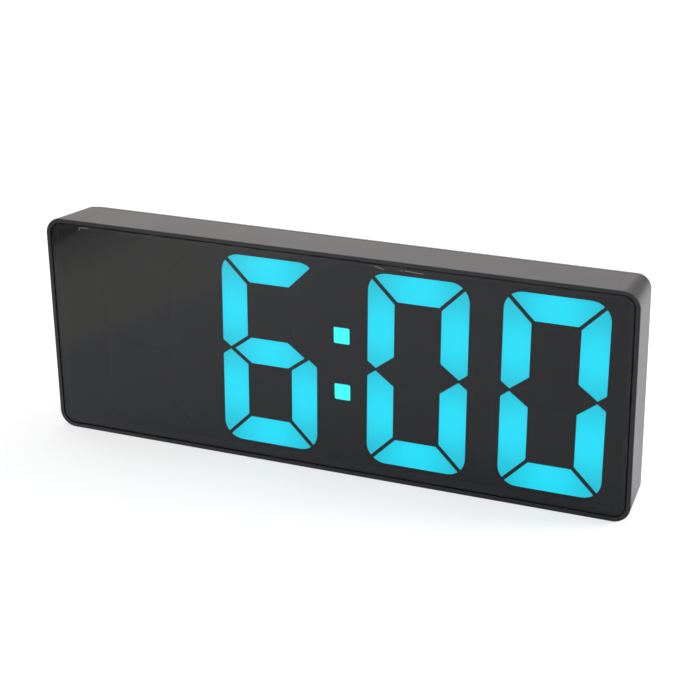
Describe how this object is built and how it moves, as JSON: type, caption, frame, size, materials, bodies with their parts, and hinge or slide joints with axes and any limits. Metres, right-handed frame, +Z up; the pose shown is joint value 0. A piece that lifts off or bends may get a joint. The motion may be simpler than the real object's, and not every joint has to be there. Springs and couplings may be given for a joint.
{
  "type": "digital led desk clock",
  "caption": "Slim desk clock with large glowing seven-segment digits behind a dark panel, rear buttons, a sliding battery door and a power inlet.",
  "frame": {"origin": "on the surface that the clock stands on, under the middle of its overall box", "axes": "+X to the right seen from the front, +Y from the display to the back, +Z up"},
  "size_m": [0.16, 0.022, 0.06],
  "materials": {
    "case": "satin",
    "button": "satin",
    "panel": "polished",
    "tape": "matte",
    "mask": "matte",
    "reflector": "satin",
    "lit_segment": "satin",
    "dark_segment": "satin",
    "colon_dot": "satin",
    "board": "satin",
    "led": "gloss",
    "screw": "satin",
    "header": "satin",
    "pin": "gloss",
    "chip": "matte",
    "can": "satin",
    "buzzer": "satin",
    "socket": "satin",
    "socket_pin": "satin",
    "switch": "satin",
    "plunger": "satin",
    "cell": "satin",
    "contact": "satin",
    "lead_red": "satin",
    "lead_black": "satin"
  },
  "bodies": {
    "case": {"front_housing": "case", "back_cover": "case", "front_panel": "panel", "panel_tape": "tape", "digit_mask": "mask", "reflector_block": "reflector", "hour_tens_dark_segments": "dark_segment", "hour_units_lit_segments": "lit_segment", "hour_units_dark_segments": "dark_segment", "minute_tens_lit_segments": "lit_segment", "minute_tens_dark_segments": "dark_segment", "minute_units_lit_segments": "lit_segment", "minute_units_dark_segments": "dark_segment", "colon_dots": "colon_dot", "display_board": "board", "segment_leds": "led", "colon_leds": "led", "display_screws": "screw", "header_strip": "header", "header_pins": "pin", "main_board": "board", "main_board_screws": "screw", "controller_chip": "chip", "clock_crystal": "can", "filter_capacitor": "can", "buzzer": "buzzer", "power_socket": "socket", "socket_pin": "socket_pin", "tact_switches": "switch", "case_screws": "screw", "outer_link_contact": "contact", "inner_link_contact": "contact", "negative_contact": "contact", "positive_contact": "contact", "aaa_cells": "cell", "negative_lead": "lead_black", "positive_lead": "lead_red"},
    "mode_key": {"mode_button": "button", "mode_plunger": "plunger"},
    "up_key": {"up_button": "button", "up_plunger": "plunger"},
    "down_key": {"down_button": "button", "down_plunger": "plunger"},
    "alarm_key": {"alarm_button": "button", "alarm_plunger": "plunger"},
    "door": {"battery_door": "case"}
  },
  "joints": [
    {"name": "mode_press", "type": "slide", "parent": "case", "child": "mode_key", "axis": [0, -1, 0], "range_m": [0, 0.0004], "stiffness_N_per_m": 5000},
    {"name": "up_press", "type": "slide", "parent": "case", "child": "up_key", "axis": [0, -1, 0], "range_m": [0, 0.0004], "stiffness_N_per_m": 5000},
    {"name": "down_press", "type": "slide", "parent": "case", "child": "down_key", "axis": [0, -1, 0], "range_m": [0, 0.0004], "stiffness_N_per_m": 5000},
    {"name": "alarm_press", "type": "slide", "parent": "case", "child": "alarm_key", "axis": [0, -1, 0], "range_m": [0, 0.0004], "stiffness_N_per_m": 5000},
    {"name": "door_slide", "type": "slide", "parent": "case", "child": "door", "axis": [-1, 0, 0], "range_m": [0, 0.058]}
  ]
}
